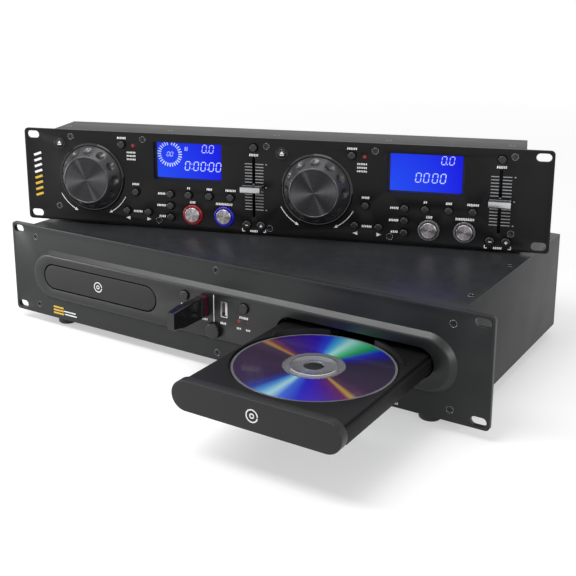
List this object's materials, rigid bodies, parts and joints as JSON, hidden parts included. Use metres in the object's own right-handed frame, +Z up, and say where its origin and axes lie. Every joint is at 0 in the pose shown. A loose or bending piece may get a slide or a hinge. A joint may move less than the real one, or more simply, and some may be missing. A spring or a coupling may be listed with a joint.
{
  "type": "dual disc player with controller",
  "caption": "Rack-width dual disc player with sliding trays and a disc, carrying its matching two-deck controller with jog wheels, displays, faders and buttons.",
  "frame": {"origin": "centre of the player's four rack slots, on the front face of its panel", "axes": "+X right along the player's front panel, +Y to the rear, +Z up"},
  "size_m": [0.4826, 0.3849, 0.1864],
  "materials": {
    "black_powder_coat": "matt black powder coat",
    "black_rubber": "matt",
    "black_screw": "black zinc",
    "button_plastic": "matt black",
    "charcoal_panel_paint": "satin charcoal",
    "disc_polycarbonate": "mirror with rainbow sheen",
    "display_glass": "backlit blue",
    "door_plastic": "satin black",
    "fader_plastic": "black with a silver front",
    "gloss_black_paint": "gloss black",
    "green_board": "solder mask",
    "grey_black_paint": "satin dark grey",
    "jog_plastic": "dark gloss with a spun metal top",
    "loader_plastic": "matt",
    "spun_cap": "spun silver",
    "stick_plastic": "gloss black with a maroon band",
    "tray_plastic": "matt black",
    "turntable_plastic": "matt"
  },
  "bodies": {
    "player": {"player_chassis": "grey_black_paint", "player_top_cover": "gloss_black_paint", "player_front_panel": "charcoal_panel_paint", "player_screws": "black_screw", "player_feet": "black_rubber", "player_boards": "green_board", "disc_drives": "loader_plastic"},
    "controller": {"controller_panel": "black_powder_coat", "controller_housing": "grey_black_paint", "controller_screws": "black_screw", "controller_feet": "black_rubber", "controller_board": "green_board", "displays": "display_glass"},
    "disc": {"compact_disc": "disc_polycarbonate"},
    "usb_stick": {"usb_stick": "stick_plastic"},
    "power_button": {"power_button": "button_plastic"},
    "left_tray": {"left_tray": "tray_plastic", "left_tray_door": "door_plastic"},
    "left_spindle": {"left_spindle": "turntable_plastic"},
    "left_open_button": {"left_open_button": "button_plastic"},
    "right_tray": {"right_tray": "tray_plastic", "right_tray_door": "door_plastic"},
    "right_spindle": {"right_spindle": "turntable_plastic"},
    "right_open_button": {"right_open_button": "button_plastic"},
    "left_jog_wheel": {"left_jog_wheel": "jog_plastic"},
    "left_pitch_fader": {"left_pitch_fader": "fader_plastic"},
    "left_jog_mode_button": {"left_jog_mode_button": "button_plastic"},
    "left_plus_ten_button": {"left_plus_ten_button": "button_plastic"},
    "left_track_back_button": {"left_track_back_button": "button_plastic"},
    "left_track_next_button": {"left_track_next_button": "button_plastic"},
    "left_time_button": {"left_time_button": "button_plastic"},
    "left_single_button": {"left_single_button": "button_plastic"},
    "left_program_button": {"left_program_button": "button_plastic"},
    "left_loop_in_button": {"left_loop_in_button": "button_plastic"},
    "left_loop_out_button": {"left_loop_out_button": "button_plastic"},
    "left_reloop_button": {"left_reloop_button": "button_plastic"},
    "left_pitch_button": {"left_pitch_button": "button_plastic"},
    "left_bend_minus_button": {"left_bend_minus_button": "button_plastic"},
    "left_bend_plus_button": {"left_bend_plus_button": "button_plastic"},
    "left_eject_button": {"left_eject_button": "button_plastic"},
    "left_cue_button": {"left_cue_button": "spun_cap"},
    "left_play_button": {"left_play_button": "spun_cap"},
    "right_jog_wheel": {"right_jog_wheel": "jog_plastic"},
    "right_pitch_fader": {"right_pitch_fader": "fader_plastic"},
    "right_jog_mode_button": {"right_jog_mode_button": "button_plastic"},
    "right_plus_ten_button": {"right_plus_ten_button": "button_plastic"},
    "right_track_back_button": {"right_track_back_button": "button_plastic"},
    "right_track_next_button": {"right_track_next_button": "button_plastic"},
    "right_time_button": {"right_time_button": "button_plastic"},
    "right_single_button": {"right_single_button": "button_plastic"},
    "right_program_button": {"right_program_button": "button_plastic"},
    "right_loop_in_button": {"right_loop_in_button": "button_plastic"},
    "right_loop_out_button": {"right_loop_out_button": "button_plastic"},
    "right_reloop_button": {"right_reloop_button": "button_plastic"},
    "right_pitch_button": {"right_pitch_button": "button_plastic"},
    "right_bend_minus_button": {"right_bend_minus_button": "button_plastic"},
    "right_bend_plus_button": {"right_bend_plus_button": "button_plastic"},
    "right_eject_button": {"right_eject_button": "button_plastic"},
    "right_cue_button": {"right_cue_button": "spun_cap"},
    "right_play_button": {"right_play_button": "spun_cap"}
  },
  "joints": [
    {"name": "controller_lift_off", "type": "slide", "parent": "player", "child": "controller", "axis": [0, 0, 1], "range_m": [0, 0.12]},
    {"name": "left_tray_slide", "type": "slide", "parent": "player", "child": "left_tray", "axis": [0, -1, 0], "range_m": [0, 0.138]},
    {"name": "left_spindle_spin", "type": "hinge", "parent": "player", "child": "left_spindle", "pos_m": [-0.13, 0.077, 0], "axis": [0, 0, 1], "continuous": true},
    {"name": "left_open_press", "type": "slide", "parent": "player", "child": "left_open_button", "axis": [0, 1, 0], "range_m": [0, 0.0012], "stiffness_N_per_m": 400},
    {"name": "right_tray_slide", "type": "slide", "parent": "player", "child": "right_tray", "axis": [0, -1, 0], "range_m": [-0.138, 0]},
    {"name": "right_spindle_spin", "type": "hinge", "parent": "player", "child": "right_spindle", "pos_m": [0.13, 0.077, 0], "axis": [0, 0, 1], "continuous": true},
    {"name": "right_open_press", "type": "slide", "parent": "player", "child": "right_open_button", "axis": [0, 1, 0], "range_m": [0, 0.0012], "stiffness_N_per_m": 400},
    {"name": "power_press", "type": "slide", "parent": "player", "child": "power_button", "axis": [0, 1, 0], "range_m": [0, 0.0012], "stiffness_N_per_m": 400},
    {"name": "usb_stick_pull", "type": "slide", "parent": "player", "child": "usb_stick", "axis": [0, -1, 0], "range_m": [0, 0.03]},
    {"name": "disc_spin", "type": "hinge", "parent": "right_tray", "child": "disc", "pos_m": [0.13, -0.061, 0.0037], "axis": [0, 0, 1], "continuous": true},
    {"name": "left_jog_turn", "type": "hinge", "parent": "controller", "child": "left_jog_wheel", "pos_m": [-0.16612, 0.03447, 0.08995], "axis": [0.3074, -0.9516, 0], "continuous": true},
    {"name": "left_pitch_slide", "type": "slide", "parent": "controller", "child": "left_pitch_fader", "axis": [0, 0, 1], "range_m": [-0.0217, 0.0203]},
    {"name": "left_jog_mode_press", "type": "slide", "parent": "controller", "child": "left_jog_mode_button", "axis": [-0.3074, 0.9516, 0], "range_m": [0, 0.0012], "stiffness_N_per_m": 400},
    {"name": "left_plus_ten_press", "type": "slide", "parent": "controller", "child": "left_plus_ten_button", "axis": [-0.3074, 0.9516, 0], "range_m": [0, 0.0012], "stiffness_N_per_m": 400},
    {"name": "left_track_back_press", "type": "slide", "parent": "controller", "child": "left_track_back_button", "axis": [-0.3074, 0.9516, 0], "range_m": [0, 0.0012], "stiffness_N_per_m": 400},
    {"name": "left_track_next_press", "type": "slide", "parent": "controller", "child": "left_track_next_button", "axis": [-0.3074, 0.9516, 0], "range_m": [0, 0.0012], "stiffness_N_per_m": 400},
    {"name": "left_time_press", "type": "slide", "parent": "controller", "child": "left_time_button", "axis": [-0.3074, 0.9516, 0], "range_m": [0, 0.0012], "stiffness_N_per_m": 400},
    {"name": "left_single_press", "type": "slide", "parent": "controller", "child": "left_single_button", "axis": [-0.3074, 0.9516, 0], "range_m": [0, 0.0012], "stiffness_N_per_m": 400},
    {"name": "left_program_press", "type": "slide", "parent": "controller", "child": "left_program_button", "axis": [-0.3074, 0.9516, 0], "range_m": [0, 0.0012], "stiffness_N_per_m": 400},
    {"name": "left_loop_in_press", "type": "slide", "parent": "controller", "child": "left_loop_in_button", "axis": [-0.3074, 0.9516, 0], "range_m": [0, 0.0012], "stiffness_N_per_m": 400},
    {"name": "left_loop_out_press", "type": "slide", "parent": "controller", "child": "left_loop_out_button", "axis": [-0.3074, 0.9516, 0], "range_m": [0, 0.0012], "stiffness_N_per_m": 400},
    {"name": "left_reloop_press", "type": "slide", "parent": "controller", "child": "left_reloop_button", "axis": [-0.3074, 0.9516, 0], "range_m": [0, 0.0012], "stiffness_N_per_m": 400},
    {"name": "left_pitch_press", "type": "slide", "parent": "controller", "child": "left_pitch_button", "axis": [-0.3074, 0.9516, 0], "range_m": [0, 0.0012], "stiffness_N_per_m": 400},
    {"name": "left_bend_minus_press", "type": "slide", "parent": "controller", "child": "left_bend_minus_button", "axis": [-0.3074, 0.9516, 0], "range_m": [0, 0.0012], "stiffness_N_per_m": 400},
    {"name": "left_bend_plus_press", "type": "slide", "parent": "controller", "child": "left_bend_plus_button", "axis": [-0.3074, 0.9516, 0], "range_m": [0, 0.0012], "stiffness_N_per_m": 400},
    {"name": "left_eject_press", "type": "slide", "parent": "controller", "child": "left_eject_button", "axis": [-0.3074, 0.9516, 0], "range_m": [0, 0.0012], "stiffness_N_per_m": 400},
    {"name": "left_cue_press", "type": "slide", "parent": "controller", "child": "left_cue_button", "axis": [-0.3074, 0.9516, 0], "range_m": [0, 0.0012], "stiffness_N_per_m": 500},
    {"name": "left_play_press", "type": "slide", "parent": "controller", "child": "left_play_button", "axis": [-0.3074, 0.9516, 0], "range_m": [0, 0.0012], "stiffness_N_per_m": 500},
    {"name": "right_jog_turn", "type": "hinge", "parent": "controller", "child": "right_jog_wheel", "pos_m": [0.03848, 0.10055, 0.08995], "axis": [0.3074, -0.9516, 0], "continuous": true},
    {"name": "right_pitch_slide", "type": "slide", "parent": "controller", "child": "right_pitch_fader", "axis": [0, 0, 1], "range_m": [-0.0217, 0.0203]},
    {"name": "right_jog_mode_press", "type": "slide", "parent": "controller", "child": "right_jog_mode_button", "axis": [-0.3074, 0.9516, 0], "range_m": [0, 0.0012], "stiffness_N_per_m": 400},
    {"name": "right_plus_ten_press", "type": "slide", "parent": "controller", "child": "right_plus_ten_button", "axis": [-0.3074, 0.9516, 0], "range_m": [0, 0.0012], "stiffness_N_per_m": 400},
    {"name": "right_track_back_press", "type": "slide", "parent": "controller", "child": "right_track_back_button", "axis": [-0.3074, 0.9516, 0], "range_m": [0, 0.0012], "stiffness_N_per_m": 400},
    {"name": "right_track_next_press", "type": "slide", "parent": "controller", "child": "right_track_next_button", "axis": [-0.3074, 0.9516, 0], "range_m": [0, 0.0012], "stiffness_N_per_m": 400},
    {"name": "right_time_press", "type": "slide", "parent": "controller", "child": "right_time_button", "axis": [-0.3074, 0.9516, 0], "range_m": [0, 0.0012], "stiffness_N_per_m": 400},
    {"name": "right_single_press", "type": "slide", "parent": "controller", "child": "right_single_button", "axis": [-0.3074, 0.9516, 0], "range_m": [0, 0.0012], "stiffness_N_per_m": 400},
    {"name": "right_program_press", "type": "slide", "parent": "controller", "child": "right_program_button", "axis": [-0.3074, 0.9516, 0], "range_m": [0, 0.0012], "stiffness_N_per_m": 400},
    {"name": "right_loop_in_press", "type": "slide", "parent": "controller", "child": "right_loop_in_button", "axis": [-0.3074, 0.9516, 0], "range_m": [0, 0.0012], "stiffness_N_per_m": 400},
    {"name": "right_loop_out_press", "type": "slide", "parent": "controller", "child": "right_loop_out_button", "axis": [-0.3074, 0.9516, 0], "range_m": [0, 0.0012], "stiffness_N_per_m": 400},
    {"name": "right_reloop_press", "type": "slide", "parent": "controller", "child": "right_reloop_button", "axis": [-0.3074, 0.9516, 0], "range_m": [0, 0.0012], "stiffness_N_per_m": 400},
    {"name": "right_pitch_press", "type": "slide", "parent": "controller", "child": "right_pitch_button", "axis": [-0.3074, 0.9516, 0], "range_m": [0, 0.0012], "stiffness_N_per_m": 400},
    {"name": "right_bend_minus_press", "type": "slide", "parent": "controller", "child": "right_bend_minus_button", "axis": [-0.3074, 0.9516, 0], "range_m": [0, 0.0012], "stiffness_N_per_m": 400},
    {"name": "right_bend_plus_press", "type": "slide", "parent": "controller", "child": "right_bend_plus_button", "axis": [-0.3074, 0.9516, 0], "range_m": [0, 0.0012], "stiffness_N_per_m": 400},
    {"name": "right_eject_press", "type": "slide", "parent": "controller", "child": "right_eject_button", "axis": [-0.3074, 0.9516, 0], "range_m": [0, 0.0012], "stiffness_N_per_m": 400},
    {"name": "right_cue_press", "type": "slide", "parent": "controller", "child": "right_cue_button", "axis": [-0.3074, 0.9516, 0], "range_m": [0, 0.0012], "stiffness_N_per_m": 500},
    {"name": "right_play_press", "type": "slide", "parent": "controller", "child": "right_play_button", "axis": [-0.3074, 0.9516, 0], "range_m": [0, 0.0012], "stiffness_N_per_m": 500}
  ]
}
